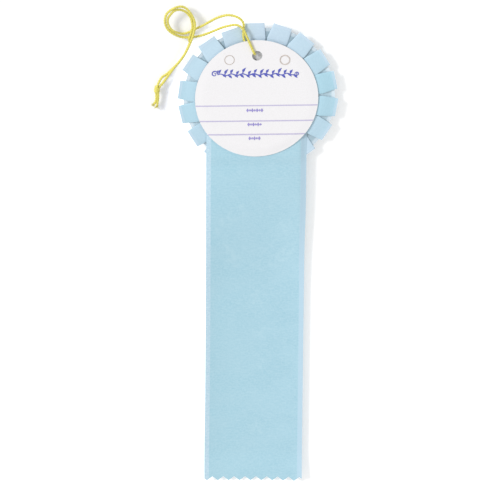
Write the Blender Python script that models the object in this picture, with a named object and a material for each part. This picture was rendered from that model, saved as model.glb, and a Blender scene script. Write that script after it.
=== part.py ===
"""Award ribbon: a box-pleated rosette with one pinked streamer, a button on its front,
and a card with a string loop on its back. It lies on its button, card side up.

Frame: metres, +Z up. The origin is the rosette's axis on the surface it lies on,
+Y points to the rosette's top and the streamer runs along -Y.
"""
import math

import bmesh
import bpy
from mathutils import Matrix, Vector

MM = 0.001
GAP = 0.3 * MM                       # clearance between pieces that touch

# Driving dimensions
STREAMER_WIDTH = 50.8 * MM           # 2 in satin ribbon
STREAMER_X = -0.6 * MM               # the streamer is set a little off the axis
STREAMER_END = -212.2 * MM           # tips of the pinked end
RIBBON_THICKNESS = 0.4 * MM
CARD_RADIUS = 31.1 * MM
CARD_CENTRE = (-0.8 * MM, 0.05 * MM)
CARD_THICKNESS = 0.35 * MM
HOLE_CENTRE = (-0.7 * MM, 22.9 * MM)
HOLE_RADIUS = 2.57 * MM
PLEATS = 18
PLEAT_PITCH = 2 * math.pi / PLEATS
FIRST_PLEAT = math.radians(-2.2)     # clockwise from +Y
PLEAT_HALF_WIDTH = 4.75 * MM         # of a face, at its outer edge
PLEAT_WIDENING = 0.075               # how fast a face widens inward
PLEAT_OUTER = 39.6 * MM              # rosette axis to the outer edge of a pleat's face
PLEAT_RIBBON_WIDTH = 12.7 * MM       # 1/2 in ribbon
UNDERFOLD_OUTER = 38.0 * MM          # the folds under the faces sit further in
UNDERFOLD_HALF_GAP = 0.6 * MM
PLEAT_THICKNESS = 0.25 * MM
BUTTON_RADIUS = 31.0 * MM
BOARD_RADIUS = 30.0 * MM
SPACER_RADIUS = 24.6 * MM
STRING_DIAMETER = 1.1 * MM

# Heights, from the front of the award (down) to its back (up)
FILM_THICKNESS = 0.25 * MM
PRINT_THICKNESS = 0.2 * MM
TIN_THICKNESS = 0.35 * MM
SHELL_BOTTOM = 1.05 * MM
SHELL_RIM = 2.9 * MM
FILM_CORNER = 1.4 * MM               # outer radius where the button's face turns up
COLLET_DISH = 1.7 * MM               # underside of the collet's middle and of its ledge
COLLET_LEDGE = 2.3 * MM
COLLET_DISH_RADIUS = 23.0 * MM
COLLET_SLOPE = 2.0 * MM              # how far out the collet takes to rise to its ledge
BUTTON_TAPE_RADIUS = 15.0 * MM
BOARD_BOTTOM = SHELL_RIM + GAP
BOARD_TOP = BOARD_BOTTOM + 0.6 * MM
LEVEL_STEP = PLEAT_THICKNESS + GAP   # three layers of ribbon lie over each other
LOW_FOLD = BOARD_TOP + GAP + PLEAT_THICKNESS / 2
MIDDLE_FOLD = LOW_FOLD + LEVEL_STEP
FACE_LEVEL = MIDDLE_FOLD + LEVEL_STEP
PLEAT_TOP = FACE_LEVEL + PLEAT_THICKNESS / 2
HEAD_BOTTOM = PLEAT_TOP + GAP
HEAD_TOP = HEAD_BOTTOM + RIBBON_THICKNESS
CARD_BOTTOM = 7.05 * MM

# The streamer's hinge line and the way it drops to the surface
HINGE_Y = -34.5 * MM
HINGE_HALF_GAP = 0.15 * MM
HEAD_END_Y = 8.0 * MM
DROP_START = -41.0 * MM
DROP_END = -126.0 * MM
EDGE_CURL = 2.2 * MM                 # the long edges stand this far above the middle
TOOTH_PITCH = 5.68 * MM
TOOTH_DEPTH = 2.2 * MM
TOOTH_COUNT = 9
FIRST_TOOTH = 1.0 * MM               # from the left edge to the first tip

# Staples, tape and the card's die cuts
WIRE_RADIUS = 0.22 * MM
STAPLE_X = 11.0 * MM
STAPLE_Y = 3.5 * MM
STAPLE_SPAN = 9.0 * MM
STAPLE_CORNER = 0.8 * MM
STAPLE_FOOT = BOARD_TOP + 0.8 * MM
STAPLE_HOLE_RADIUS = 0.55 * MM
LOWER_TAPE = (30.0 * MM, 12.0 * MM)  # size across and along
LOWER_TAPE_Y = -12.0 * MM
UPPER_TAPE = (16.0 * MM, 5.0 * MM)
UPPER_TAPE_Y = 13.0 * MM
KNOCKOUT_X = 13.95 * MM              # each side of the hole
KNOCKOUT_Y = 20.5 * MM
KNOCKOUT_RADIUS = 2.4 * MM
SLIT_WIDTH = 0.28 * MM
NICK = math.radians(22)              # uncut stretch between two slits
CUTTER_HEIGHT = 6.0 * MM             # more than any piece that is cut through

# Routes of the string's two strands, from the card's hole to the knot, in millimetres
FRONT_STRAND = [
    (-2.0, 23.9, 7.15), (-2.0, 24.0, 7.75), (-2.4, 24.8, 8.2), (-3.2, 26.6, 8.25),
    (-4.3, 29.2, 8.25), (-6.0, 33.2, 8.25), (-7.5, 36.5, 8.35), (-9.3, 38.8, 8.2),
    (-11.3, 39.5, 7.8), (-13.2, 39.3, 7.2), (-15.6, 38.6, 6.5), (-18.6, 37.4, 5.5),
    (-24.7, 34.3, 4.0), (-28.3, 32.8, 3.4), (-31.6, 31.9, 2.9), (-35.1, 31.5, 2.6),
    (-38.5, 31.6, 2.4), (-41.4, 32.6, 2.3), (-43.8, 34.1, 2.3), (-45.7, 36.4, 2.4),
    (-46.7, 39.6, 2.7), (-46.3, 43.0, 3.1), (-44.8, 45.4, 3.5), (-42.4, 47.2, 3.9),
    (-39.4, 48.3, 4.3), (-36.7, 47.7, 4.6), (-34.3, 45.0, 4.8), (-32.6, 41.8, 5.0),
    (-32.0, 39.0, 5.1), (-32.3, 36.1, 5.1), (-33.1, 32.8, 5.1), (-34.0, 30.1, 4.9),
    (-35.5, 26.2, 4.3), (-37.2, 22.7, 3.8), (-39.6, 19.0, 3.3), (-42.0, 15.9, 2.9),
    (-43.9, 13.3, 2.9), (-45.6, 10.9, 3.0), (-47.3, 8.4, 3.1), (-48.8, 6.5, 3.2),
]
BACK_STRAND = [
    (-2.0, 23.9, 6.3), (-4.4, 26.6, 6.3), (-6.0, 28.5, 6.3), (-7.2, 30.6, 6.3),
    (-7.7, 33.4, 6.3), (-7.6, 38.8, 6.4), (-8.3, 41.0, 6.4), (-9.8, 42.5, 6.2),
    (-12.3, 43.6, 5.8), (-15.6, 43.9, 5.2), (-18.6, 43.1, 4.6), (-21.7, 41.8, 4.2),
    (-28.0, 37.9, 3.3), (-31.3, 36.2, 2.9), (-34.6, 34.3, 2.6), (-38.1, 33.4, 2.4),
    (-41.6, 34.3, 2.3), (-43.5, 35.9, 2.3), (-44.8, 38.4, 2.5), (-45.0, 41.2, 2.8),
    (-44.2, 43.6, 3.1), (-42.3, 45.7, 3.4), (-40.2, 46.4, 3.6), (-38.3, 46.2, 3.7),
    (-36.5, 45.3, 3.8), (-34.9, 43.6, 3.9), (-33.8, 41.7, 3.9), (-33.1, 37.7, 3.9),
    (-33.5, 35.7, 3.9), (-34.0, 33.6, 3.9), (-34.9, 30.8, 3.9), (-34.5, 29.0, 3.4),
    (-35.6, 25.7, 2.8), (-37.2, 21.9, 2.1), (-39.6, 18.3, 1.7), (-42.1, 15.4, 1.4),
    (-45.9, 11.8, 1.7), (-48.0, 10.6, 2.1), (-49.4, 8.9, 2.8), (-50.2, 7.3, 3.2),
]
KNOT_CENTRE = (-50.9, 4.2, 3.4)
KNOT_RADII = (1.5, 2.1, 1.5)
KNOT_TAILS = {
    "string_tail_left": [(-51.5, 1.3, 3.2), (-51.7, -0.8, 3.0), (-52.3, -2.6, 2.9),
                         (-53.1, -3.9, 2.8)],
    "string_tail_right": [(-50.0, 1.3, 3.2), (-50.0, -0.9, 3.0), (-50.3, -3.0, 2.9),
                          (-50.6, -5.0, 2.8)],
}
STRING_STEP = 3.5 * MM               # a tube point about every three diameters
STRING_BEND_STEP = 0.8 * MM          # closer points where the string turns at the hole
STRING_BEND_LENGTH = 4.0 * MM

COLOURS = {
    # name: (red, green, blue), roughness, metallic
    "satin_blue": ((0.42, 0.68, 0.80), 0.45, 0.0),
    "satin_pleats": ((0.52, 0.72, 0.84), 0.45, 0.0),
    "card_white": ((0.92, 0.91, 0.92), 0.6, 0.0),
    "chipboard_grey": ((0.45, 0.45, 0.45), 0.85, 0.0),
    "string_yellow": ((0.80, 0.72, 0.22), 0.7, 0.0),
    "tinplate": ((0.70, 0.70, 0.70), 0.35, 1.0),
    "print_blue": ((0.10, 0.18, 0.45), 0.4, 0.0),
    "clear_film": ((0.90, 0.95, 1.00), 0.1, 0.0),
    "foam_tape": ((0.85, 0.85, 0.82), 0.8, 0.0),
    "staple_steel": ((0.60, 0.60, 0.62), 0.3, 1.0),
}
ALPHA = {"clear_film": 0.3}


def clear_scene():
    for thing in list(bpy.data.objects):
        bpy.data.objects.remove(thing, do_unlink=True)


def material(name):
    found = bpy.data.materials.get(name)
    if found:
        return found
    colour, roughness, metallic = COLOURS[name]
    made = bpy.data.materials.new(name)
    made.use_nodes = True
    shader = made.node_tree.nodes["Principled BSDF"]
    shader.inputs["Base Color"].default_value = (*colour, 1.0)
    shader.inputs["Roughness"].default_value = roughness
    shader.inputs["Metallic"].default_value = metallic
    shader.inputs["Alpha"].default_value = ALPHA.get(name, 1.0)
    made.diffuse_color = (*colour, 1.0)
    return made


def link(name, data, material_name=None):
    """Put a mesh or curve in the scene as the named object."""
    made = bpy.data.objects.new(name, data)
    bpy.context.scene.collection.objects.link(made)
    if material_name:
        data.materials.append(material(material_name))
    return made


def mesh_object(name, vertices, faces, material_name=None, smooth=False):
    mesh = bpy.data.meshes.new(name)
    mesh.from_pydata([tuple(v) for v in vertices], [], faces)
    shape = bmesh.new()
    shape.from_mesh(mesh)
    bmesh.ops.recalc_face_normals(shape, faces=shape.faces)
    shape.to_mesh(mesh)
    shape.free()
    if smooth:
        mesh.shade_smooth()
        mesh.set_sharp_from_angle(angle=math.radians(35))
    return link(name, mesh, material_name)


def move(thing, x, y, z=0.0):
    thing.location = (x, y, z)
    return thing


# Turned and flat pieces

def quarter(centre_r, centre_z, radius, start, end, steps=3):
    """Points on an arc of a turned profile, angles in degrees from +r towards +z."""
    points = []
    for i in range(steps + 1):
        a = math.radians(start + (end - start) * i / steps)
        points.append((centre_r + radius * math.cos(a), centre_z + radius * math.sin(a)))
    return points


def turned(name, profile, material_name, segments=56):
    """Turn an (r, z) profile whose first and last points are on the Z axis."""
    inner = profile[1:-1]
    vertices = [(0.0, 0.0, profile[0][1]), (0.0, 0.0, profile[-1][1])]
    for r, z in inner:
        for i in range(segments):
            a = 2 * math.pi * i / segments
            vertices.append((r * math.cos(a), r * math.sin(a), z))

    def ring(j, i):
        return 2 + j * segments + i % segments

    faces = []
    last = len(inner) - 1
    for i in range(segments):
        faces.append((0, ring(0, i + 1), ring(0, i)))
        faces.append((1, ring(last, i), ring(last, i + 1)))
        for j in range(last):
            faces.append((ring(j, i), ring(j, i + 1), ring(j + 1, i + 1), ring(j + 1, i)))
    return mesh_object(name, vertices, faces, material_name, smooth=True)


def disc(name, radius, bottom, top, material_name, segments=56):
    profile = [(0, bottom), (radius, bottom), (radius, top), (0, top)]
    return turned(name, profile, material_name, segments)


def slab(name, size_x, size_y, bottom, top, material_name):
    """A rectangular pad or plate about its own centre."""
    shape = bmesh.new()
    bmesh.ops.create_cube(shape, size=1.0)
    scale = Matrix.Diagonal((size_x, size_y, top - bottom, 1.0))
    place = Matrix.Translation((0, 0, (top + bottom) / 2))
    bmesh.ops.transform(shape, matrix=place @ scale, verts=shape.verts)
    mesh = bpy.data.meshes.new(name)
    shape.to_mesh(mesh)
    shape.free()
    return link(name, mesh, material_name)


def cut(target, cutter):
    """Subtract a hidden cutter from a piece."""
    cutter.hide_render = True
    cutter.display_type = "WIRE"
    boolean = target.modifiers.new(cutter.name, "BOOLEAN")
    boolean.operation = "DIFFERENCE"
    boolean.solver = "EXACT"
    boolean.object = cutter


def pan_profile(radius, bottom, wall, rim, corner):
    """A shallow pan of one thickness with a rounded corner and a rim at the given height."""
    outer = quarter(radius - corner, bottom + corner, corner, -90, 0)
    inner = quarter(radius - corner, bottom + corner, corner - wall, 0, -90)
    top = [(radius, rim), (radius - wall, rim)]
    return [(0, bottom)] + outer + top + inner + [(0, bottom + wall)]


def build_button():
    """Film over print over a tin shell, closed by a dished collet that the tape sits in."""
    cover_rim = SHELL_RIM - GAP
    paper_radius = BUTTON_RADIUS - FILM_THICKNESS - GAP
    paper_corner = FILM_CORNER - FILM_THICKNESS
    shell_radius = paper_radius - PRINT_THICKNESS - GAP
    shell_corner = paper_corner - PRINT_THICKNESS
    film = pan_profile(BUTTON_RADIUS, 0.0, FILM_THICKNESS, cover_rim, FILM_CORNER)
    paper = pan_profile(paper_radius, FILM_THICKNESS + GAP, PRINT_THICKNESS, cover_rim, paper_corner)
    shell = pan_profile(shell_radius, SHELL_BOTTOM, TIN_THICKNESS, SHELL_RIM, shell_corner)
    turned("button_film", film, "clear_film")
    turned("button_print", paper, "print_blue")
    turned("button_shell", shell, "tinplate")
    flange = shell_radius - TIN_THICKNESS - GAP
    ledge_radius = COLLET_DISH_RADIUS + COLLET_SLOPE
    ledge_top = COLLET_LEDGE + GAP
    dish_top = COLLET_DISH + GAP
    turned("button_collet", [
        (0, COLLET_DISH), (COLLET_DISH_RADIUS, COLLET_DISH), (ledge_radius, COLLET_LEDGE),
        (flange, COLLET_LEDGE), (flange, ledge_top), (ledge_radius, ledge_top),
        (COLLET_DISH_RADIUS, dish_top), (0, dish_top),
    ], "tinplate")
    disc("button_tape", BUTTON_TAPE_RADIUS, dish_top + GAP, SHELL_RIM, "foam_tape", 48)


def build_boards():
    disc("backing_board", BOARD_RADIUS, BOARD_BOTTOM, BOARD_TOP, "chipboard_grey")
    spacer = disc("spacer_board", SPACER_RADIUS, BOARD_TOP + GAP, PLEAT_TOP, "chipboard_grey")
    cut(spacer, staple_holes("spacer_staple_holes"))


# The pleated ruffle: one folded ribbon

def pleat_point(pleat, across, out, level):
    """A point in a pleat's own frame: across is clockwise, out is away from the axis."""
    a = FIRST_PLEAT + pleat * PLEAT_PITCH
    x = out * math.sin(a) + across * math.cos(a)
    y = out * math.cos(a) - across * math.sin(a)
    return (x, y, level)


def build_ruffle():
    """Each period runs: up from the low fold, back under the face, over the face, and
    back under it again to the next low fold."""
    stations = (0.0, 0.35, 1.0)          # shares of the ribbon's width, inside to outside
    side_gap = GAP / 2
    vertices = []
    for station in stations:
        face_out = PLEAT_OUTER - PLEAT_RIBBON_WIDTH * (1 - station)
        fold_out = UNDERFOLD_OUTER - PLEAT_RIBBON_WIDTH * (1 - station)
        inward = PLEAT_OUTER - face_out
        room = face_out * math.tan(PLEAT_PITCH / 2) - side_gap
        half = min(PLEAT_HALF_WIDTH + PLEAT_WIDENING * inward, room)
        tuck = UNDERFOLD_HALF_GAP
        for pleat in range(PLEATS):
            vertices += [
                pleat_point(pleat, -tuck, fold_out, LOW_FOLD),
                pleat_point(pleat, -tuck, fold_out, MIDDLE_FOLD),
                pleat_point(pleat, -half, face_out, MIDDLE_FOLD),
                pleat_point(pleat, -half, face_out, FACE_LEVEL),
                pleat_point(pleat, half, face_out, FACE_LEVEL),
                pleat_point(pleat, half, face_out, MIDDLE_FOLD),
                pleat_point(pleat, tuck, fold_out, MIDDLE_FOLD),
                pleat_point(pleat, tuck, fold_out, LOW_FOLD),
            ]
    around = 8 * PLEATS
    faces = []
    for j in range(len(stations) - 1):
        for i in range(around):
            k = (i + 1) % around
            faces.append((j * around + i, j * around + k,
                          (j + 1) * around + k, (j + 1) * around + i))
    ruffle = mesh_object("pleated_ruffle", vertices, faces, "satin_pleats")
    thicken(ruffle, PLEAT_THICKNESS)


def thicken(sheet, thickness):
    solid = sheet.modifiers.new("thickness", "SOLIDIFY")
    solid.thickness = thickness
    solid.offset = 0.0
    solid.use_even_offset = True


# The streamer

def staple_holes(name):
    """Four round cutters where the staples' legs pass."""
    shape = bmesh.new()
    for side in (-1, 1):
        for end in (-0.5, 0.5):
            x = side * STAPLE_X + end * STAPLE_SPAN
            place = Matrix.Translation((x, STAPLE_Y, HEAD_BOTTOM))
            bmesh.ops.create_cone(shape, cap_ends=True, segments=12, radius1=STAPLE_HOLE_RADIUS,
                                  radius2=STAPLE_HOLE_RADIUS, depth=CUTTER_HEIGHT, matrix=place)
    mesh = bpy.data.meshes.new(name)
    shape.to_mesh(mesh)
    shape.free()
    return link(name, mesh)


def build_streamer_head():
    near = HINGE_Y + HINGE_HALF_GAP
    head = slab("streamer_head", STREAMER_WIDTH, HEAD_END_Y - near, HEAD_BOTTOM, HEAD_TOP,
                "satin_blue")
    move(head, STREAMER_X, (HEAD_END_Y + near) / 2)
    cut(head, staple_holes("head_staple_holes"))


def drop(y):
    """1 on the rosette, easing to 0 where the streamer lies on the surface."""
    t = min(1.0, max(0.0, (DROP_START - y) / (DROP_START - DROP_END)))
    return 1.0 - t * t * (3 - 2 * t)


def tooth_stations():
    """Widths across the streamer and how far each stands back from the tips."""
    half_pitch = TOOTH_PITCH / 2
    stations = [(0.0, TOOTH_DEPTH * FIRST_TOOTH / half_pitch)]
    for i in range(2 * TOOTH_COUNT):
        stations.append((FIRST_TOOTH + i * half_pitch, TOOTH_DEPTH * (i % 2)))
    left_over = (STREAMER_WIDTH - stations[-1][0]) / half_pitch
    stations.append((STREAMER_WIDTH, TOOTH_DEPTH * (1 - left_over)))
    return stations


def even_steps(start, end, count):
    """Evenly spaced values after the start, up to the end."""
    return [start + (end - start) * i / count for i in range(1, count + 1)]


def build_streamer_tail(hinge):
    """Flat at the hinge, then easing down to the surface with slightly raised edges."""
    start = HINGE_Y - HINGE_HALF_GAP
    flat = [start, (start + DROP_START) / 2, DROP_START]
    rows = flat + even_steps(DROP_START, DROP_END, 12) + even_steps(DROP_END, STREAMER_END, 5)
    columns = tooth_stations()
    high = (HEAD_BOTTOM + HEAD_TOP) / 2
    low = RIBBON_THICKNESS / 2
    vertices = []
    for row in rows:
        last = row is rows[-1]
        for across, set_back in columns:
            x = across - STREAMER_WIDTH / 2
            y = row + set_back if last else row
            curl = EDGE_CURL * (2 * x / STREAMER_WIDTH) ** 2 * (1 - drop(y))
            vertices.append((x + STREAMER_X, y, low + (high - low) * drop(y) + curl))
    width = len(columns)
    faces = []
    for j in range(len(rows) - 1):
        for i in range(width - 1):
            a = j * width + i
            faces.append((a, a + 1, a + 1 + width, a + width))
    tail = mesh_object("streamer_tail", vertices, faces, "satin_blue")
    thicken(tail, RIBBON_THICKNESS)
    attach(tail, hinge)


def staple(name, x):
    """A wire staple: a crown over the streamer and two legs through the boards."""
    crown = HEAD_TOP + GAP / 3 + WIRE_RADIUS
    half = STAPLE_SPAN / 2
    corner_u = STAPLE_CORNER - half
    corner_z = crown - STAPLE_CORNER
    route = [(-half, STAPLE_FOOT)] + quarter(corner_u, corner_z, STAPLE_CORNER, 180, 90, 4)
    route += [(-u, z) for u, z in reversed(route)]
    points = [(x + u, STAPLE_Y, z) for u, z in route]
    tube(name, points, 2 * WIRE_RADIUS, "staple_steel", resolution=1)


def build_fixings():
    staple("staple_left", -STAPLE_X)
    staple("staple_right", STAPLE_X)
    tape_top = CARD_BOTTOM - GAP
    lower = slab("card_tape_lower", *LOWER_TAPE, HEAD_TOP + GAP, tape_top, "foam_tape")
    move(lower, 0, LOWER_TAPE_Y)
    upper = slab("card_tape_upper", *UPPER_TAPE, PLEAT_TOP + GAP, tape_top, "foam_tape")
    move(upper, 0, UPPER_TAPE_Y)


# The card

def ring_slit(shape, centre, start, end):
    """A cutter for one arc of a knock-out's perforated ring."""
    inner = KNOCKOUT_RADIUS - SLIT_WIDTH / 2
    outer = KNOCKOUT_RADIUS + SLIT_WIDTH / 2
    reach = CUTTER_HEIGHT / 3
    sections = []
    for a in [start] + even_steps(start, end, 6):
        corners = []
        for r, z in ((inner, -reach), (outer, -reach), (outer, reach), (inner, reach)):
            x = centre[0] + r * math.cos(a)
            y = centre[1] + r * math.sin(a)
            corners.append(shape.verts.new((x, y, CARD_BOTTOM + z)))
        sections.append(corners)
    for first, second in zip(sections, sections[1:]):
        for i in range(4):
            k = (i + 1) % 4
            shape.faces.new((first[i], first[k], second[k], second[i]))
    shape.faces.new(sections[0])
    shape.faces.new(list(reversed(sections[-1])))


def build_card():
    """A die-cut disc with a string hole and two knock-outs held by four nicks each."""
    card = disc("back_card", CARD_RADIUS, CARD_BOTTOM, CARD_BOTTOM + CARD_THICKNESS,
                "card_white", 96)
    move(card, *CARD_CENTRE)
    shape = bmesh.new()
    place = Matrix.Translation((HOLE_CENTRE[0], HOLE_CENTRE[1], CARD_BOTTOM))
    bmesh.ops.create_cone(shape, cap_ends=True, segments=32, radius1=HOLE_RADIUS,
                          radius2=HOLE_RADIUS, depth=CUTTER_HEIGHT, matrix=place)
    for side in (-1, 1):
        centre = (HOLE_CENTRE[0] + side * KNOCKOUT_X, KNOCKOUT_Y)
        for quarter_turn in range(4):
            start = quarter_turn * math.pi / 2 + NICK / 2
            ring_slit(shape, centre, start, start + math.pi / 2 - NICK)
    bmesh.ops.recalc_face_normals(shape, faces=shape.faces)
    mesh = bpy.data.meshes.new("card_cutters")
    shape.to_mesh(mesh)
    shape.free()
    cut(card, link("card_cutters", mesh))


# The string

def distances_along(length):
    """Where the tube's points go: close together over the bend at the hole, then even."""
    fine = [i * STRING_BEND_STEP for i in range(round(STRING_BEND_LENGTH / STRING_BEND_STEP))]
    if length < 4 * STRING_BEND_LENGTH:
        fine = []
    start = STRING_BEND_LENGTH if fine else 0.0
    count = max(3, round((length - start) / STRING_STEP))
    return fine + [start + (length - start) * i / count for i in range(count + 1)]


def smooth_route(points):
    """Points on the Catmull-Rom curve through the route's own points."""
    route = [Vector(p) for p in points]
    route = [2 * route[0] - route[1]] + route + [2 * route[-1] - route[-2]]
    fine = []
    for a, b, c, d in zip(route, route[1:], route[2:], route[3:]):
        for i in range(20):
            t = i / 20
            fine.append(0.5 * (2 * b + (c - a) * t + (2 * a - 5 * b + 4 * c - d) * t * t
                               + (3 * b - a - 3 * c + d) * t * t * t))
    fine.append(route[-2])
    lengths = [0.0]
    for a, b in zip(fine, fine[1:]):
        lengths.append(lengths[-1] + (b - a).length)
    placed = []
    k = 0
    for target in distances_along(lengths[-1]):
        while k < len(fine) - 2 and lengths[k + 1] < target:
            k += 1
        share = (target - lengths[k]) / (lengths[k + 1] - lengths[k])
        placed.append(fine[k].lerp(fine[k + 1], min(1.0, share)))
    return placed


def tube(name, points, diameter, material_name, resolution=2):
    curve = bpy.data.curves.new(name, "CURVE")
    curve.dimensions = "3D"
    curve.bevel_depth = diameter / 2
    curve.bevel_resolution = resolution
    curve.use_fill_caps = True
    spline = curve.splines.new("POLY")
    spline.points.add(len(points) - 1)
    for point, place in zip(spline.points, points):
        point.co = (*place, 1.0)
    return link(name, curve, material_name)


def strand(name, route_mm, swivel):
    points = smooth_route([Vector(p) * MM for p in route_mm])
    made = tube(name, points, STRING_DIAMETER, "string_yellow")
    attach(made, swivel)


def build_string(swivel):
    strand("string_front", FRONT_STRAND, swivel)
    strand("string_back", BACK_STRAND, swivel)
    for name, route in KNOT_TAILS.items():
        strand(name, route, swivel)
    shape = bmesh.new()
    bmesh.ops.create_uvsphere(shape, u_segments=16, v_segments=10, radius=1.0)
    scale = Matrix.Diagonal((*[r * MM for r in KNOT_RADII], 1.0))
    place = Matrix.Translation([c * MM for c in KNOT_CENTRE])
    bmesh.ops.transform(shape, matrix=place @ scale, verts=shape.verts)
    mesh = bpy.data.meshes.new("string_knot")
    shape.to_mesh(mesh)
    shape.free()
    mesh.shade_smooth()
    knot = link("string_knot", mesh, "string_yellow")
    attach(knot, swivel)


# Joint axes

def pivot(name, location):
    made = bpy.data.objects.new(name, None)
    made.empty_display_size = 5 * MM
    made.location = location
    bpy.context.scene.collection.objects.link(made)
    return made


def attach(piece, pivot_empty):
    """Parent a piece to its pivot without moving it."""
    piece.parent = pivot_empty
    piece.matrix_parent_inverse = Matrix.Translation(-Vector(pivot_empty.location))


def main():
    clear_scene()
    build_button()
    build_boards()
    build_ruffle()
    build_streamer_head()
    build_fixings()
    build_card()
    build_streamer_tail(pivot("streamer_hinge", (STREAMER_X, HINGE_Y, HEAD_TOP)))
    build_string(pivot("string_swivel", (*HOLE_CENTRE, CARD_BOTTOM)))


main()
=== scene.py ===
import random
from math import atan2, copysign, cos, degrees, hypot, pi, radians, sin, sqrt, tan

import bmesh
import bpy
from mathutils import Matrix, Vector, noise
from mathutils.geometry import delaunay_2d_cdt


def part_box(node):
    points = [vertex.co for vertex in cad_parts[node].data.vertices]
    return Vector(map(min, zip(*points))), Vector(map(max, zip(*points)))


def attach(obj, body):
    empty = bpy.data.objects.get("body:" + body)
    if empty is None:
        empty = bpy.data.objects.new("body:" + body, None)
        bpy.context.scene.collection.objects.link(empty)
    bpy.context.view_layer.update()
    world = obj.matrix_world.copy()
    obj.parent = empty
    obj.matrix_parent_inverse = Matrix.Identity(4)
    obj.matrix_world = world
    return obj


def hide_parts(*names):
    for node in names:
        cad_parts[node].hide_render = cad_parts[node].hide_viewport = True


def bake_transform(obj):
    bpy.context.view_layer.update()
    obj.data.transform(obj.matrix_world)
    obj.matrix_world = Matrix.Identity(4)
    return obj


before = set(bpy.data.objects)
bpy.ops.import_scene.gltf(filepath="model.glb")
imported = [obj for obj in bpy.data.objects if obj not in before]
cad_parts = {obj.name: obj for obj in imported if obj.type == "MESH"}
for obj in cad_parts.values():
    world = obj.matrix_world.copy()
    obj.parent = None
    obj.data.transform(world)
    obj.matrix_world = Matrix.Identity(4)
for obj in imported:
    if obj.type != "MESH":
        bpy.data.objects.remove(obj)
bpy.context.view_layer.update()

# The looks of an award ribbon that lies on its front, card side up: satin streamer and
# pleats, printed card, twisted string, foil print, floor, light and camera.
# Metres, +Z up; +Y points to the rosette's top and the streamer runs along -Y.

MM = 0.001
FLOOR_Z = -0.05 * MM                 # just under the button, the streamer and the string


def low(node, axis):
    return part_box(node)[0][axis]


def high(node, axis):
    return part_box(node)[1][axis]


def middle(node, axis):
    return (low(node, axis) + high(node, axis)) / 2


def smoothstep(value, start, end):
    share = min(1.0, max(0.0, (value - start) / (end - start)))
    return share * share * (3 - 2 * share)


def spread(start, end, count):
    """Evenly spaced values from start to end, both included."""
    return [start + (end - start) * i / (count - 1) for i in range(count)]


# Materials

def linear(colour):
    """A display colour, three values from 0 to 255, as shaders take it; all else is kept."""
    if not isinstance(colour, tuple) or len(colour) != 3:
        return colour
    shares = [value / 255 for value in colour]
    return (*(s / 12.92 if s <= 0.04045 else ((s + 0.055) / 1.055) ** 2.4 for s in shares), 1.0)


class Finish:
    """A material; each call adds one node and returns its output."""

    def __init__(self, name, **sockets):
        self.material = bpy.data.materials.new(name)
        self.material.use_nodes = True
        self.tree = self.material.node_tree
        self.shader = self.tree.nodes["Principled BSDF"]
        self.set(**sockets)

    def set(self, **sockets):
        for name, value in sockets.items():
            self.put(self.shader.inputs[name.replace("_", " ")], value)

    def put(self, socket, value):
        if isinstance(value, bpy.types.NodeSocket):
            self.tree.links.new(value, socket)
        else:
            socket.default_value = value

    def node(self, kind, inputs, output=0, **settings):
        made = self.tree.nodes.new(kind)
        for name, value in settings.items():
            setattr(made, name, value)
        for key, value in inputs.items():
            self.put(made.inputs[key], value)
        return made.outputs[output]

    def math(self, operation, *values):
        return self.node("ShaderNodeMath", dict(enumerate(values)), operation=operation)

    def attribute(self, name):
        return self.node("ShaderNodeAttribute", {}, "Fac", attribute_name=name)

    def times(self, value, factor, extra=0.0):
        """value * factor + extra"""
        return self.math("MULTIPLY_ADD", value, factor, extra)

    def reach(self, x, y):
        """Distance from the axis."""
        squares = [self.math("POWER", value, 2.0) for value in (x, y)]
        return self.math("SQRT", self.math("ADD", *squares))

    def mix(self, share, first, second):
        """From the first colour to the second as share goes from 0 to 1."""
        return self.node("ShaderNodeMix", {0: share, 6: linear(first), 7: linear(second)}, 2,
                         data_type="RGBA")

    def smooth(self, value, start, end):
        """0 before start, 1 after end, smooth between them."""
        return self.node("ShaderNodeMapRange", {0: value, 1: start, 2: end},
                         interpolation_type="SMOOTHSTEP")

    def uv(self):
        return self.node("ShaderNodeUVMap", {}, 0, uv_map="surface")

    def local(self):
        """The object's own coordinates in millimetres."""
        place = self.node("ShaderNodeTexCoord", {}, "Object")
        return self.stretch(place, 1 / MM, 1 / MM, 1 / MM)

    def stretch(self, vector, x, y, z=1.0):
        return self.node("ShaderNodeVectorMath", {0: vector, 1: (x, y, z)}, operation="MULTIPLY")

    def parts(self, vector):
        made = self.tree.nodes.new("ShaderNodeSeparateXYZ")
        self.put(made.inputs[0], vector)
        return tuple(made.outputs)

    def noise(self, vector, scale, detail=2.0):
        inputs = {"Vector": vector, "Scale": scale, "Detail": detail}
        return self.node("ShaderNodeTexNoise", inputs)

    def relief(self, height, depth_mm, strength=1.0):
        """The last touch: relief of the given depth. Returns the material."""
        inputs = {"Strength": strength, "Distance": depth_mm * MM, "Height": height}
        self.set(Normal=self.node("ShaderNodeBump", inputs))
        return self.material


def satin_grain(finish, across, along, vector):
    """Crosswise weft lines, fine lengthwise floats and a broad unevenness, about 0.5."""
    weft = finish.noise(finish.stretch(vector, 0.3, 2.6), 1.0, 3.0)
    floats = finish.noise(finish.stretch(vector, 5.0, 0.5), 1.0, 2.0)
    slubs = finish.noise(vector, 1.0, 2.0)
    broad = finish.noise(finish.stretch(vector, 0.05, 0.08), 1.0, 2.0)
    fine = finish.times(slubs, 0.4, finish.times(weft, 0.4, finish.times(floats, 0.2)))
    rib = finish.math("SINE", finish.times(along, 2 * pi / 0.42))
    thread = finish.math("SINE", finish.times(across, 2 * pi / 0.30))
    weave = finish.times(rib, 0.3, finish.times(thread, 0.2))
    return fine, broad, finish.math("ADD", fine, weave)


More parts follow.
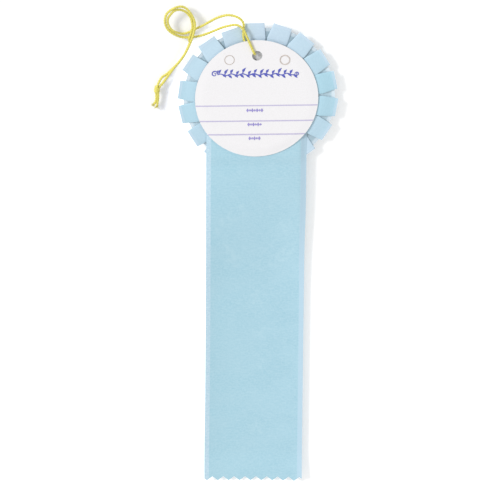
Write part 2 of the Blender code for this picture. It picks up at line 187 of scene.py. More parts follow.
def streamer_satin():
    finish = Finish("streamer_satin", Roughness=0.42, Anisotropic=0.55, Specular_IOR_Level=0.35,
                    Sheen_Weight=0.08, Sheen_Roughness=0.4)
    vector = finish.uv()
    across, along, _ = finish.parts(vector)
    fine, broad, weave = satin_grain(finish, across, along, vector)
    low_part = finish.smooth(along, -60.0, -120.0)
    body = finish.mix(finish.smooth(across, -20.0, 26.0), (163, 204, 219), (166, 202, 216))
    # Painted light and shade on the lying part: its left side lighter and its right side darker,
    # to cancel the shading of the edges that curl up
    painted_curl_shading = finish.mix(finish.smooth(across, -24.0, 26.0), (169, 210, 224), (150, 186, 200))
    body = finish.mix(low_part, body, painted_curl_shading)
    pale = finish.mix(finish.smooth(fine, 0.38, 0.62), (155, 197, 213), (181, 213, 226))
    colour = finish.mix(0.55, body, pale)
    colour = finish.mix(finish.times(finish.smooth(broad, 0.35, 0.65), 0.25), colour,
                        (177, 210, 223))
    patchy = finish.noise(finish.stretch(vector, 0.12, 0.1), 1.0, 2.0)
    ghost = finish.times(finish.smooth(patchy, 0.35, 0.65), 0.34)
    ghost = finish.times(finish.attribute("ghost"), ghost)
    colour = finish.mix(ghost, colour, (186, 216, 227))
    left = finish.smooth(across, -22.85, -23.25)
    inner = finish.times(low_part, 0.5, 22.3)
    right = finish.smooth(across, inner, finish.math("ADD", inner, 0.4))
    selvage = finish.math("MAXIMUM", left, right)
    band = finish.mix(finish.smooth(fine, 0.38, 0.62), (178, 209, 225), (198, 222, 235))
    band = finish.mix(finish.times(right, 0.8), band, (172, 200, 216))
    colour = finish.mix(selvage, colour, band)
    finish.set(Base_Color=colour)
    return finish.relief(weave, 0.03, 0.6)


def pleat_satin():
    finish = Finish("pleat_satin", Roughness=0.42, Anisotropic=0.4, Specular_IOR_Level=0.35,
                    Sheen_Weight=0.08, Sheen_Roughness=0.4)
    vector = finish.uv()
    along, across, _ = finish.parts(vector)
    fine, _, weave = satin_grain(finish, along, across, vector)
    # Painted sheen: each pleat is paler or bluer by the direction it runs, through the pale
    # attribute
    body = finish.mix(finish.attribute("pale"), (170, 213, 228), (197, 217, 232))
    shade = finish.mix(finish.attribute("pale"), (162, 206, 222), (190, 211, 227))
    colour = finish.mix(finish.smooth(fine, 0.35, 0.65), shade, body)
    # Painted shade on the left-hand pleats, which face the light
    colour = finish.mix(finish.times(finish.attribute("left"), 0.4), colour, (172, 196, 210))
    edge = finish.math("MAXIMUM", finish.smooth(across, 11.2, 11.45),
                       finish.smooth(across, 1.5, 1.25))
    colour = finish.mix(finish.times(edge, 0.45), colour, (198, 216, 232))
    # Painted shade on the folds seen in the gaps between the pleats: dark inside, paler in their
    # edge band, lighter on the bluer pleats
    lit = finish.times(finish.math("SUBTRACT", 1.0, finish.attribute("pale")), 1.5)
    gap_shade = finish.mix(lit, (140, 165, 178), (188, 210, 221))
    border = finish.mix(lit, (184, 200, 211), (218, 231, 239))
    colour = finish.mix(finish.times(finish.attribute("under"), 0.85), colour,
                        finish.mix(finish.smooth(across, 10.4, 11.3), gap_shade, border))
    finish.set(Base_Color=colour)
    return finish.relief(weave, 0.03, 0.6)


def card_stock():
    finish = Finish("card_stock", Roughness=0.62, Specular_IOR_Level=0.25)
    vector = finish.local()
    fibre = finish.noise(finish.stretch(vector, 1.0, 1.6, 1.0), 2.2, 4.0)
    flock = finish.noise(vector, 0.25, 3.0)
    colour = finish.mix(finish.smooth(fibre, 0.3, 0.7), (229, 228, 229), (236, 235, 237))
    colour = finish.mix(finish.times(flock, 0.3), colour, (234, 230, 232))
    finish.set(Base_Color=colour)
    return finish.relief(fibre, 0.012, 0.7)


def chipboard():
    finish = Finish("chipboard", Roughness=0.85, Specular_IOR_Level=0.2)
    vector = finish.local()
    flecks = finish.noise(vector, 1.8, 5.0)
    fibre = finish.noise(finish.stretch(vector, 0.6, 3.0, 3.0), 1.4, 3.0)
    colour = finish.mix(finish.smooth(flecks, 0.35, 0.7), (219, 219, 220), (213, 214, 215))
    colour = finish.mix(finish.smooth(fibre, 0.55, 0.8), colour, (221, 220, 219))
    finish.set(Base_Color=colour)
    return finish.relief(flecks, 0.015)


def string_fibre():
    """Each ply's fibres run along it with a slight twist: u goes round it and v along it."""
    finish = Finish("string_fibre", Roughness=0.5, Specular_IOR_Level=0.35, Sheen_Weight=0.2,
                    Sheen_Roughness=0.4)
    vector = finish.uv()
    turned = finish.node("ShaderNodeVectorRotate", {"Vector": vector, "Angle": radians(14)},
                         rotation_type="Z_AXIS")
    fibre = finish.noise(finish.stretch(turned, 9.0, 0.9), 1.0, 3.0)
    slub = finish.noise(finish.stretch(vector, 0.3, 0.35), 1.0, 2.0)
    colour = finish.mix(finish.smooth(fibre, 0.3, 0.7), (198, 187, 74), (232, 223, 118))
    colour = finish.mix(finish.times(slub, 0.35), colour, (229, 219, 110))
    finish.set(Base_Color=colour)
    return finish.relief(fibre, 0.06)


def ink(name, dark, light):
    finish = Finish(name, Roughness=0.45, Specular_IOR_Level=0.3)
    blot = finish.noise(finish.local(), 1.6, 3.0)
    finish.set(Base_Color=finish.mix(finish.smooth(blot, 0.35, 0.65), dark, light))
    return finish.relief(blot, 0.004)


def gold_foil():
    finish = Finish("gold_foil", Metallic=1.0)
    vector = finish.local()
    worn = finish.noise(vector, 0.9, 4.0)
    weave = finish.noise(finish.stretch(vector, 1.0, 4.0), 1.2, 2.0)
    finish.set(Base_Color=finish.mix(worn, (214, 170, 72), (240, 208, 124)))
    finish.set(Roughness=finish.times(worn, 0.25, 0.16))
    return finish.relief(weave, 0.015)


def tinplate():
    finish = Finish("tinplate", Metallic=1.0)
    vector = finish.local()
    rolled = finish.noise(finish.stretch(vector, 0.3, 6.0, 1.0), 1.0, 3.0)
    stain = finish.noise(vector, 0.15, 3.0)
    finish.set(Base_Color=finish.mix(stain, (196, 198, 202), (216, 217, 218)))
    finish.set(Roughness=finish.times(rolled, 0.2, 0.22))
    return finish.relief(rolled, 0.01)


def staple_wire():
    finish = Finish("staple_wire", Metallic=1.0)
    drawn = finish.noise(finish.stretch(finish.local(), 0.4, 8.0, 8.0), 1.0, 2.0)
    finish.set(Base_Color=finish.mix(drawn, (176, 178, 184), (204, 205, 208)))
    finish.set(Roughness=finish.times(drawn, 0.2, 0.25))
    return finish.relief(drawn, 0.008)


def foam_tape():
    finish = Finish("foam_tape", Roughness=0.85)
    vector = finish.local()
    cells = finish.node("ShaderNodeTexVoronoi", {"Vector": vector, "Scale": 3.5}, "Distance")
    finish.set(Base_Color=finish.mix(cells, (226, 226, 222), (240, 240, 237)))
    return finish.relief(cells, 0.06)


def clear_film():
    finish = Finish("clear_film", Transmission_Weight=1.0, IOR=1.45,
                    Base_Color=(1.0, 1.0, 1.0, 1.0))
    ripple = finish.noise(finish.local(), 0.12, 1.0)
    finish.set(Roughness=finish.times(ripple, 0.06))
    return finish.relief(ripple, 0.02, 0.5)


def button_print():
    """Blue paper with a gold ring, fine gold rays and a pale star in the middle."""
    finish = Finish("button_print", Roughness=0.38)
    x, y, _ = finish.parts(finish.local())
    radius = finish.reach(x, y)
    angle = finish.math("ARCTAN2", x, y)
    grain = finish.noise(finish.local(), 2.0, 3.0)
    colour = finish.mix(grain, (30, 66, 140), (40, 80, 158))
    rays = finish.smooth(finish.math("SINE", finish.times(angle, 36.0)), 0.2, 0.5)
    in_rays = finish.times(finish.smooth(radius, 15.0, 15.3), finish.smooth(radius, 23.3, 23.0))
    ring = finish.times(finish.smooth(radius, 24.2, 24.4), finish.smooth(radius, 26.2, 26.0))
    gold = finish.math("MAXIMUM", finish.times(rays, in_rays), ring)
    colour = finish.mix(gold, colour, (226, 186, 92))
    fifth = 2 * pi / 5
    turn = finish.math("MODULO", finish.math("ADD", angle, 10.5 * fifth), fifth)
    folded = finish.math("ABSOLUTE", finish.math("SUBTRACT", turn, fifth / 2))
    slope = finish.math("COSINE", finish.math("SUBTRACT", fifth, folded))
    outline = finish.math("DIVIDE", 4.9, slope)
    star = finish.smooth(finish.math("SUBTRACT", outline, radius), 0.0, 0.15)
    colour = finish.mix(star, colour, (238, 240, 246))
    finish.set(Base_Color=colour)
    return finish.relief(grain, 0.01)


# Meshes

def mesh_piece(name, vertices, faces, finish, uv=None, smooth=True, **attributes):
    """A named piece; uv holds a pair in millimetres for each vertex."""
    mesh = bpy.data.meshes.new(name)
    mesh.from_pydata([tuple(v) for v in vertices], [], faces)
    if uv:
        layer = mesh.uv_layers.new(name="surface")
        for loop in mesh.loops:
            layer.data[loop.index].uv = uv[loop.vertex_index]
    for label, values in attributes.items():
        mesh.attributes.new(label, "FLOAT", "POINT").data.foreach_set("value", values)
    if smooth:
        mesh.shade_smooth()
    mesh.materials.append(finish)
    piece = bpy.data.objects.new(name, mesh)
    bpy.context.scene.collection.objects.link(piece)
    return piece


def grid_faces(rows, columns):
    """Quads of a grid whose vertices are listed row by row."""
    faces = []
    for j in range(rows - 1):
        for i in range(columns - 1):
            a = j * columns + i
            faces.append((a, a + 1, a + 1 + columns, a + columns))
    return faces


def thicken(piece, thickness, sharp=40):
    """Give a sheet its thickness and keep its rim crisp."""
    solid = piece.modifiers.new("thickness", "SOLIDIFY")
    solid.thickness = thickness
    solid.offset = 0.0
    solid.use_even_offset = True
    bake(piece)
    piece.data.set_sharp_from_angle(angle=radians(sharp))


def bake(piece):
    """Apply a piece's modifiers."""
    bpy.context.view_layer.update()
    evaluated = piece.evaluated_get(bpy.context.evaluated_depsgraph_get())
    mesh = bpy.data.meshes.new_from_object(evaluated)
    piece.modifiers.clear()
    piece.data = mesh


# Camera, light and floor

CAMERA_AIM = Vector((-5.67, -81.67, 0.0)) * MM
CAMERA_TILT = radians(21.38)         # off the vertical, towards the rosette's top
CAMERA_TURN = radians(8.75)
CAMERA_ROLL = radians(0.46)
CAMERA_DISTANCE = 2.7202
CAMERA_LENS_MM = 391.6
LIGHT_TRAVEL = (0.85, -0.53)         # the way shadows fall
LIGHT_ELEVATION = radians(37.5)
LIGHT_SIZE = radians(15)
LIGHT_STRENGTH = 1.9
SKY_STRENGTH = 0.76
# Painted light: the floor's own glow, which lightens the shadows on it
FLOOR_GLOW = 0.24
STRING_GLOW = 0.09                   # round the string, and bluer against its yellow cast
ROSETTE_GLOW = 0.5                   # between the string and the rosette


def place_camera():
    back = Vector((-sin(CAMERA_TILT) * sin(CAMERA_TURN),
                   sin(CAMERA_TILT) * cos(CAMERA_TURN), cos(CAMERA_TILT)))
    level = Vector((0, 1, 0)).cross(back).normalized()
    rise = back.cross(level)
    right = level * cos(CAMERA_ROLL) + rise * sin(CAMERA_ROLL)
    up = rise * cos(CAMERA_ROLL) - level * sin(CAMERA_ROLL)
    lens = bpy.data.cameras.new("camera")
    lens.lens = CAMERA_LENS_MM
    lens.sensor_width = 36.0
    camera = bpy.data.objects.new("camera", lens)
    turn = Matrix((right, up, back)).transposed().to_4x4()
    camera.matrix_world = Matrix.Translation(CAMERA_AIM + back * CAMERA_DISTANCE) @ turn
    bpy.context.scene.collection.objects.link(camera)
    bpy.context.scene.camera = camera


def place_light():
    lamp = bpy.data.lights.new("key", "SUN")
    lamp.energy = LIGHT_STRENGTH
    lamp.angle = LIGHT_SIZE
    key = bpy.data.objects.new("key", lamp)
    level = cos(LIGHT_ELEVATION)
    travel = Vector((LIGHT_TRAVEL[0] * level, LIGHT_TRAVEL[1] * level, -sin(LIGHT_ELEVATION)))
    key.rotation_mode = "QUATERNION"
    key.rotation_quaternion = travel.to_track_quat("-Z", "Y")
    bpy.context.scene.collection.objects.link(key)
    sky = bpy.data.worlds.new("sky")
    sky.use_nodes = True
    background = sky.node_tree.nodes["Background"]
    background.inputs["Color"].default_value = (1.0, 1.0, 1.0, 1.0)
    background.inputs["Strength"].default_value = SKY_STRENGTH
    bpy.context.scene.world = sky
    bpy.context.scene.view_settings.view_transform = "Standard"


def place_floor():
    """Paper that glows, painted light that lightens the shadows on it: most under the rosette,
    least by the string.
    """
    finish = Finish("floor_paper", Roughness=0.9, Specular_IOR_Level=0.1)
    place = finish.local()
    x, y, _ = finish.parts(place)
    near = finish.smooth(finish.reach(x, y), 46.5, 41.5)
    string_side = finish.times(finish.smooth(x, 4.0, -8.0), finish.smooth(y, -24.0, -12.0))
    on_left = finish.times(near, ROSETTE_GLOW - STRING_GLOW, STRING_GLOW - FLOOR_GLOW)
    by_string = finish.times(string_side, finish.math("SUBTRACT", 1.0, near))
    finish.set(Emission_Color=finish.mix(by_string, (1, 1, 1, 1), (0.42, 0.5, 1.0, 1)))
    finish.set(Emission_Strength=finish.times(string_side, on_left, FLOOR_GLOW))
    fleck = finish.noise(finish.stretch(place, MM, MM, MM), 0.02, 2.0)
    finish.set(Base_Color=finish.mix(fleck, (0.905, 0.905, 0.905, 1), (0.915, 0.915, 0.915, 1)))
    corners = [(x, y, FLOOR_Z) for x, y in ((-3, -3), (3, -3), (3, 3), (-3, 3))]
    mesh_piece("floor", corners, [(0, 1, 2, 3)], finish.material, smooth=False)


# The streamer: one ribbon from under the card to its pinked end

RIBBON_THICKNESS = 0.16 * MM
STREAMER_WIDTH = high("streamer_head", 0) - low("streamer_head", 0)
STREAMER_X = middle("streamer_head", 0)
STREAMER_TOP_Y = high("streamer_head", 1)
STREAMER_END_Y = low("streamer_tail", 1)
HEAD_LEVEL = middle("streamer_head", 2)
LYING_LEVEL = 0.2 * MM
DROP_START = -41.0 * MM
DROP_END = -108.0 * MM
LEFT_CURL = 2.8 * MM                 # how far each edge stands up where the ribbon lies
RIGHT_CURL = 3.6 * MM
EDGE_INSET = 0.38 * MM
EDGE_SAG = 0.45 * MM                 # the right edge bends down onto the pleat beside it
EDGE_RISE = 0.45 * MM                # the ribbon swells up to the card's edge
TOOTH_PITCH = 5.68 * MM
TOOTH_DEPTH = 2.45 * MM
FIRST_TOOTH = 1.3 * MM
END_BOW = 1.0 * MM                   # the end is cut a little hollow
END_SLANT = 0.48 * MM                # and lower on the right
TIP_RISE = 1.4 * MM                  # it stands a little off the surface
END_SHORT = 0.23 * MM                # which draws it in
END_CURVE = 18.0 * MM                # how much of the ribbon bends up to it
END_CUT = 7.0 * MM                   # how much of the mesh follows the cut
UNDER_CARD = (-12.0 * MM, -24.0 * MM)  # where the ribbon's shape sets in, hidden by the card
COLUMNS_PER_TOOTH = 8


def on_surface(y):
    """0 on the rosette, easing to 1 where the streamer lies on the surface."""
    return smoothstep(-y, -DROP_START, -DROP_END)


def streamer_level(x, y):
    """Height of the ribbon's middle surface; x is from the streamer's own centre line."""
    free = on_surface(y)
    curl = (LEFT_CURL if x < 0 else RIGHT_CURL) * (2 * x / STREAMER_WIDTH) ** 2 * free
    wave = 0.12 * MM * free * (1 + noise.noise(Vector((x * 60, y * 25, 4.0))))
    rise = EDGE_RISE * smoothstep(y, -37 * MM, -30.5 * MM) * smoothstep(y, *UNDER_CARD)
    beside = smoothstep(x, 0.42 * STREAMER_WIDTH, STREAMER_WIDTH / 2) * (1 - free)
    rise -= (EDGE_SAG + rise) * beside * smoothstep(y, *UNDER_CARD)
    rise += TIP_RISE * smoothstep(-y, -STREAMER_END_Y - END_CURVE, -STREAMER_END_Y)
    return HEAD_LEVEL + (LYING_LEVEL - HEAD_LEVEL) * free + curl + wave + rise


def edge_inset(x, y):
    """How far the ribbon's curl draws a point in towards the centre line."""
    if x > 0:
        share = smoothstep(-y, 60 * MM, 86 * MM)
    else:
        share = sin(pi * min(1.0, max(0.0, (-y / MM - 55) / 145)))
    return copysign(EDGE_INSET * share * (2 * x / STREAMER_WIDTH) ** 2, x)


def tooth_set_back(x):
    """How far the pinked edge stands back from its tips; the points are slightly rounded."""
    across = x + STREAMER_WIDTH / 2 - FIRST_TOOTH
    phase = (across / TOOTH_PITCH) % 1.0
    zigzag = 1 - abs(2 * phase - 1)
    return TOOTH_DEPTH * (0.06 + 0.9 * zigzag)


def streamer_columns():
    step = TOOTH_PITCH / COLUMNS_PER_TOOTH
    half = STREAMER_WIDTH / 2
    first = FIRST_TOOTH - half
    inner = [first + i * step for i in range(-1, round(STREAMER_WIDTH / step) + 1)]
    return [-half] + [x for x in inner if -half + 0.2 * MM < x < half - 0.2 * MM] + [half]


def streamer_rows():
    rows = spread(STREAMER_TOP_Y, -30 * MM, 20) + spread(-30 * MM, -46 * MM, 33)[1:]
    return rows + spread(-46 * MM, STREAMER_END_Y, 146)[1:]


# Foil print on the streamer's front: a wreath and a column of stars

WREATH_CENTRE = (-0.4 * MM, -76.4 * MM)
WREATH_REACH = (18.0 * MM, 16.2 * MM)
WREATH_LEAVES = 9                    # pairs on each branch
LEAF_LENGTH = 6.4 * MM
LEAF_WIDTH = 2.3 * MM
STAR_PLACES = [(0.9 * MM, y * MM) for y in (-110.5, -128.4, -146.4, -164.4, -182.4)]
STAR_REACH = 5.4 * MM


def wreath_leaves():
    """Each leaf's centre and direction, for two branches that rise from the bottom."""
    leaves = []
    for side in (-1, 1):
        for i in range(WREATH_LEAVES):
            turn = radians(8 + 148 * i / (WREATH_LEAVES - 1))
            along = Vector((side * cos(turn), sin(turn), 0))
            for lean in (-1, 1):
                reach = 1 + lean * 0.11
                x = WREATH_CENTRE[0] + side * sin(turn) * WREATH_REACH[0] * reach
                y = WREATH_CENTRE[1] - cos(turn) * WREATH_REACH[1] * reach
                direction = Matrix.Rotation(-side * lean * radians(24), 3, "Z") @ along
                leaves.append((Vector((x, y, 0)), direction))
    return leaves


def leaf_outline(centre, direction, steps=7):
    """A leaf pointed at both ends."""
    side = Vector((-direction.y, direction.x, 0))
    points = []
    for sign in (1, -1):
        for i in range(steps):
            share = i / steps if sign == 1 else 1 - i / steps
            bulge = LEAF_WIDTH / 2 * sin(pi * share) ** 0.8
            points.append(centre + direction * LEAF_LENGTH * (share - 0.5) + side * sign * bulge)
    return points


def star_outline(place):
    points = []
    for i in range(10):
        reach = STAR_REACH * (1.0 if i % 2 == 0 else 0.42)
        turn = pi * i / 5
        points.append(Vector((place[0] + reach * sin(turn), place[1] + reach * cos(turn), 0)))
    return points


def foil_cover(x, y, leaves):
    """How much foil lies behind a point of the streamer, 0 to 1, with soft edges."""
    cover = 0.0
    for centre, direction in leaves:
        offset_x = x - centre.x
        offset_y = y - centre.y
        if abs(offset_x) + abs(offset_y) > LEAF_LENGTH:
            continue
        along = (offset_x * direction.x + offset_y * direction.y) / (LEAF_LENGTH / 2)
        aside = (offset_x * direction.y - offset_y * direction.x) / (LEAF_WIDTH / 2)
        cover = max(cover, 1 - smoothstep(hypot(along, aside), 0.6, 1.3))
    for place in STAR_PLACES:
        offset_x = x - place[0]
        offset_y = y - place[1]
        distance = hypot(offset_x, offset_y)
        if distance > STAR_REACH:
            continue
        turn = atan2(offset_x, offset_y) % (2 * pi / 5)
        point = abs(turn - pi / 5) / (pi / 5)
        reach = STAR_REACH * (0.42 + 0.58 * point ** 1.6)
        cover = max(cover, 1 - smoothstep(distance / reach, 0.75, 1.15))
    return cover


def build_streamer():
    columns = streamer_columns()
    rows = streamer_rows()
    leaves = wreath_leaves()
    vertices, uv, ghost = [], [], []
    for row in rows:
        for x in columns:
            taper = smoothstep(-row, -STREAMER_END_Y - END_CUT, -STREAMER_END_Y)
            aside = 2 * x / STREAMER_WIDTH
            cut = tooth_set_back(x) + END_SHORT + END_BOW * aside ** 2 - END_SLANT * aside
            y = row + cut * taper
            vertices.append((x - edge_inset(x, y) + STREAMER_X, y, streamer_level(x, y)))
            uv.append((x / MM, y / MM))
            ghost.append(foil_cover(x + STREAMER_X, y, leaves))
    streamer = mesh_piece("streamer", vertices, grid_faces(len(rows), len(columns)),
                          streamer_satin(), uv, ghost=ghost)
    thicken(streamer, RIBBON_THICKNESS)
    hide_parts("streamer_head", "streamer_tail")
    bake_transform(streamer)


def build_foil():
    """Foil under the streamer, following its underside."""
    outlines = [leaf_outline(centre, direction) for centre, direction in wreath_leaves()]
    outlines += [star_outline(place) for place in STAR_PLACES]
    vertices, faces = [], []
    for outline in outlines:
        first = len(vertices)
        centre = sum(outline, Vector()) / len(outline)
        for point in outline + [centre]:
            level = streamer_level(point.x - STREAMER_X, point.y)
            vertices.append((point.x, point.y, level - RIBBON_THICKNESS / 2 - 0.03 * MM))
        count = len(outline)
        faces += [(first + count, first + (i + 1) % count, first + i) for i in range(count)]
    foil = mesh_piece("foil_print", vertices, faces, gold_foil(), smooth=False)
    thicken(foil, 0.03 * MM)
    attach(foil, "streamer")


# The pleats: one narrow ribbon folded into box pleats

PLEAT_WIDTH = 12.7 * MM
PLEAT_OUTER = 39.6 * MM
PLEAT_THICKNESS = 0.16 * MM
FOLD_RADIUS = 0.14 * MM
FACE_LEVEL = high("pleated_ruffle", 2) - 0.125 * MM
MIDDLE_LEVEL = FACE_LEVEL - 2 * FOLD_RADIUS
LOW_LEVEL = MIDDLE_LEVEL - 2 * FOLD_RADIUS
FACE_HALF = 4.75 * MM                # half a face's width at its outer edge
FACE_SPREAD = 0.075                  # how fast a face widens inward
TUCK = 0.6 * MM
UNDER_SHORT = 2.2 * MM               # the folds under a face end this far inside its edge
RIGHT_UNDER_SHORT = 0.8 * MM         # and on the right side this far
FACE_SWELL = 1.1 * MM
SHEEN_TURN = radians(85)             # the painted sheen is palest across this direction
PLEAT_FIRST_TURN = -162.2            # degrees clockwise from +Y; the ends meet under the streamer
PLEAT_STEP = 20.0
# Each pleat as it happens to lie: turn from its even place and twist in degrees, reach in mm
PLEATS = [
    (0.0, 1.0, 0.0), (-1.5, 2.0, -0.3), (-1.2, 1.9, -0.1), (-0.5, -0.6, 0.5), (-1.1, 0.7, 0.6),
    (0.5, 5.1, 0.8), (1.1, 6.1, 0.4), (0.9, 1.5, -0.6), (-0.6, 2.2, 0.0), (0.1, 1.7, 0.1),
    (0.3, 3.1, 0.2), (0.0, 1.0, 0.2), (-0.7, 0.8, 0.5), (0.6, 1.5, 0.6), (0.9, 3.7, 0.4),
    (2.6, 3.0, 0.1), (0.0, 1.0, 0.0), (0.0, 0.0, 0.0),
]


def turn_points(centre, level, start, end, steps=6):
    """A fold in section: angles in degrees from +across towards up."""
    points = []
    for angle in spread(radians(start), radians(end), steps):
        points.append((centre + FOLD_RADIUS * cos(angle), level + FOLD_RADIUS * sin(angle)))
    return points


def pleat_section(half):
    """(across, level) along one pleat, from low fold to low fold."""
    lower = (LOW_LEVEL + MIDDLE_LEVEL) / 2
    upper = (MIDDLE_LEVEL + FACE_LEVEL) / 2
    left = turn_points(-TUCK, lower, -90, 90)
    left += [(x, MIDDLE_LEVEL) for x in spread(-TUCK, -half + FOLD_RADIUS, 5)[1:-1]]
    left += turn_points(-half + FOLD_RADIUS, upper, 270, 90)
    face = [(x, FACE_LEVEL + 0.1 * MM * (1 - (x / half) ** 2))
            for x in spread(-half + FOLD_RADIUS, half - FOLD_RADIUS, 9)[1:-1]]
    right = [(-x, z) for x, z in reversed(left)]
    return left + face + right


def face_rise(inward, turn):
    """The faces swell up to the card's edge, except beside the streamer and by the string."""
    swell = smoothstep(inward, 0.5 * MM, 8.8 * MM)
    swell *= 1 - 0.5 * smoothstep(inward, 9.8 * MM, PLEAT_WIDTH)
    off_streamer = smoothstep(abs(abs(turn) - 180), 45, 70)
    off_string = smoothstep(abs(turn + 2), 26, 40)
    return FACE_SWELL * swell * off_streamer * off_string


def pleat_point(index, across, level, inward, under):
    """Place a point of a section; inward is its distance from the ribbon's outer edge."""
    offset, twist, reach = PLEATS[index]
    turn = PLEAT_FIRST_TURN + index * PLEAT_STEP + offset
    centre = radians(turn)
    facing = radians(turn + twist)
    out = PLEAT_OUTER + reach * MM
    x = out * sin(centre) + across * cos(facing) - (inward + under) * sin(facing)
    y = out * cos(centre) - across * sin(facing) - (inward + under) * cos(facing)
    return Vector((x, y, level + face_rise(inward, turn)))


def under_short(inward, turn):
    """The folds run slightly askew, so the set-back shrinks towards the inner edge."""
    on_right = smoothstep(turn, 15, 35)
    short = UNDER_SHORT + (RIGHT_UNDER_SHORT - UNDER_SHORT) * on_right
    return short * (1 - 0.5 * inward / PLEAT_WIDTH)


def build_pleats():
    inward_rows = [0.0, 0.4, 1.0, 2.0, 3.2, 4.4, 5.6, 6.8, 8.0, 9.2, 10.4, 11.6, 12.7]
    vertices, uv, pale, under, left = [], [], [], [], []
    columns = 0
    for inward_mm in inward_rows:
        inward = inward_mm * MM
        line = []
        for index in range(len(PLEATS)):
            turn = PLEAT_FIRST_TURN + index * PLEAT_STEP
            room = (PLEAT_OUTER - inward) * tan(radians(PLEAT_STEP / 2)) - 0.2 * MM
            half = min(FACE_HALF + FACE_SPREAD * inward, room)
            for across, level in pleat_section(half):
                hidden = 1 - smoothstep(level, MIDDLE_LEVEL, FACE_LEVEL)
                tucked = 1 - smoothstep(abs(across), TUCK, half)
                short = under_short(inward, turn) * hidden * tucked
                line.append((pleat_point(index, across, level, inward, short), hidden, turn))
            if index < len(PLEATS) - 1:
                line += low_run(index, inward)
        run = 0.0
        for i, (point, hidden, turn) in enumerate(line):
            if i:
                run += (point - line[i - 1][0]).length
            vertices.append(point)
            uv.append((run / MM, PLEAT_WIDTH / MM - inward_mm))
            # pale: painted sheen, set by the pleat's direction
            pale.append(abs(sin(radians(turn) - SHEEN_TURN)) ** 0.8)
            # left: where the painted shade of the left-hand pleats goes
            left.append(max(0.0, -sin(radians(turn))))
            # under: where the painted gap shade goes
            under.append(hidden)
        columns = len(line)
    pleats = mesh_piece("pleats", vertices, grid_faces(len(inward_rows), columns), pleat_satin(),
                        uv, pale=pale, under=under, left=left)
    thicken(pleats, PLEAT_THICKNESS)
    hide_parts("pleated_ruffle")
    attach(pleats, "rosette")


def low_run(index, inward):
    """The straight run under the gap between a pleat and the next."""
    turn = PLEAT_FIRST_TURN + (index + 0.5) * PLEAT_STEP
    short = under_short(inward, turn)
    start = pleat_point(index, TUCK, LOW_LEVEL, inward, short)
    end = pleat_point(index + 1, -TUCK, LOW_LEVEL, inward, short)
    return [(start.lerp(end, share), 1.0, turn) for share in spread(0.0, 1.0, 8)[1:-1]]


# The card

CARD_CENTRE = (middle("back_card", 0), middle("back_card", 1))
CARD_RADIUS = (high("back_card", 0) - low("back_card", 0)) / 2
CARD_THICKNESS = high("back_card", 2) - low("back_card", 2)
CARD_LEVEL = middle("back_card", 2)
HOLE_CENTRE = (-0.7 * MM, 22.9 * MM)
HOLE_RADIUS = 2.57 * MM
KNOCKOUT_PLACES = [(-14.65 * MM, 20.85 * MM), (13.25 * MM, 20.6 * MM)]
KNOCKOUT_RADIUS = 2.4 * MM
SLIT_WIDTH = 0.1 * MM
SCORCH_HALF = (0.22 * MM, 0.32 * MM)  # half the brown rim along each cut, left and right; partly painted shade of the cuts
NICK = radians(6)
CARD_DROOP = 0.2 * MM                # the card's rim bends down a little
FOOT_DROOP = 0.25 * MM               # and more where it rests on the streamer


def card_level(x, y):
    """The card's middle surface: its rim rests on pleats and streamer, but not over the string."""
    reach = hypot(x - CARD_CENTRE[0], y - CARD_CENTRE[1]) / CARD_RADIUS
    turn = degrees(atan2(x - CARD_CENTRE[0], y - CARD_CENTRE[1]))
    clear_of_string = smoothstep(abs(turn + 8), 24, 62)
    foot = smoothstep(abs(turn), 120, 160)
    droop = CARD_DROOP * clear_of_string + FOOT_DROOP * foot
    return CARD_LEVEL - droop * smoothstep(reach, 0.86, 1.0)


def arc(centre, radius, turns):
    return [(centre[0] + radius * cos(turn), centre[1] + radius * sin(turn)) for turn in turns]


def circle(centre, radius, count):
    return arc(centre, radius, [2 * pi * i / count for i in range(count)])


def slit_loops():
    """Closed outlines of the knock-outs' slits, four to a ring."""
    loops = []
    for centre in KNOCKOUT_PLACES:
        for quarter in range(4):
            start = quarter * pi / 2 + NICK / 2
            turns = spread(start, start + pi / 2 - NICK, 8)
            loops.append(arc(centre, KNOCKOUT_RADIUS - SLIT_WIDTH / 2, turns)
                         + arc(centre, KNOCKOUT_RADIUS + SLIT_WIDTH / 2, turns[::-1]))
    return loops


def in_slit(x, y):
    for centre in KNOCKOUT_PLACES:
        off_ring = abs(hypot(x - centre[0], y - centre[1]) - KNOCKOUT_RADIUS)
        turn = atan2(y - centre[1], x - centre[0]) % (pi / 2)
        if off_ring < SLIT_WIDTH / 2 and NICK / 2 < turn < pi / 2 - NICK / 2:
            return True
    return False


